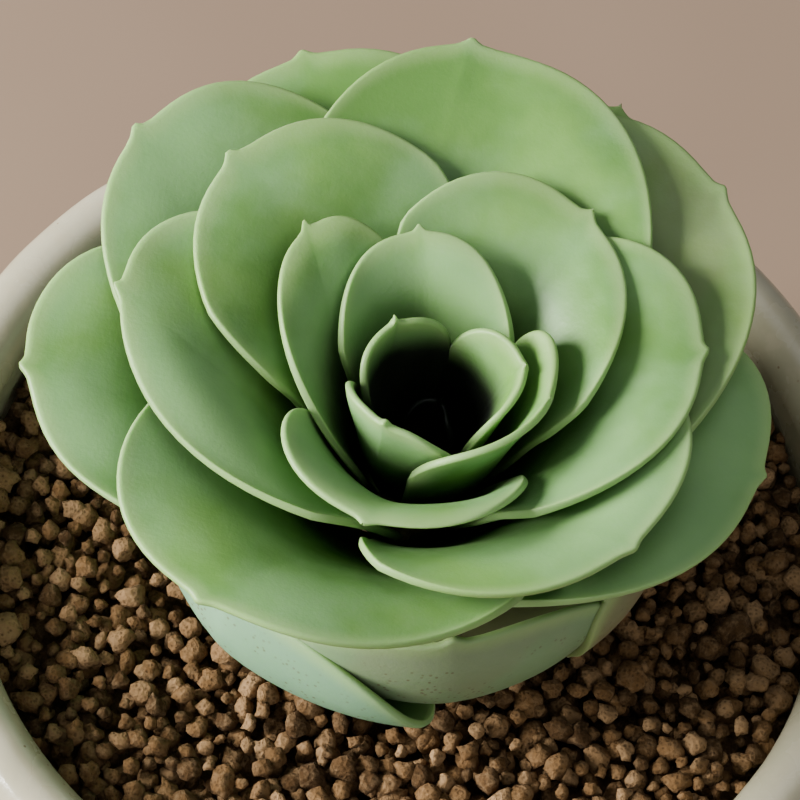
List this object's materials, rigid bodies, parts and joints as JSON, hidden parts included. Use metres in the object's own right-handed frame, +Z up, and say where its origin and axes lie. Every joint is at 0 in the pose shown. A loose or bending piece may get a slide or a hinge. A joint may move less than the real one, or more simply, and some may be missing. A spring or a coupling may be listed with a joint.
{
  "type": "succulent in a jar",
  "caption": "Rose-shaped green succulent of nested rounded leaves, rooted in clay granules in a cream glazed jar with a thick rounded rim.",
  "frame": {"origin": "centre of the jar's foot ring, on the surface that it stands on", "axes": "+Z up through the rosette, -Y to the front"},
  "size_m": [0.0978, 0.0978, 0.1091],
  "materials": {
    "jar_glaze": "cream speckled gloss glaze",
    "plastic_mesh": "moulded net",
    "clay_granules": "dry porous fired clay granules",
    "woody_stem": "rough bark",
    "young_leaf": "waxy matte bloom",
    "leaf": "waxy matte bloom with pale margin",
    "old_leaf": "blue-grey bloom with fine speckles"
  },
  "bodies": {
    "root": {"jar": "jar_glaze", "drain_mesh": "plastic_mesh", "soil": "clay_granules", "stem": "woody_stem", "leaf_01": "young_leaf", "leaf_02": "young_leaf", "leaf_03": "young_leaf", "leaf_04": "young_leaf", "leaf_05": "young_leaf", "leaf_06": "young_leaf", "leaf_07": "young_leaf", "leaf_08": "young_leaf", "leaf_09": "leaf", "leaf_10": "leaf", "leaf_11": "leaf", "leaf_12": "leaf", "leaf_13": "leaf", "leaf_14": "leaf", "leaf_15": "leaf", "leaf_16": "leaf", "leaf_17": "leaf", "leaf_18": "leaf", "leaf_19": "leaf", "leaf_20": "leaf", "leaf_21": "leaf", "leaf_22": "leaf", "leaf_23": "old_leaf", "leaf_24": "old_leaf", "leaf_25": "old_leaf", "leaf_26": "old_leaf", "leaf_27": "old_leaf", "leaf_28": "old_leaf", "leaf_29": "old_leaf", "leaf_30": "old_leaf"}
  },
  "joints": []
}
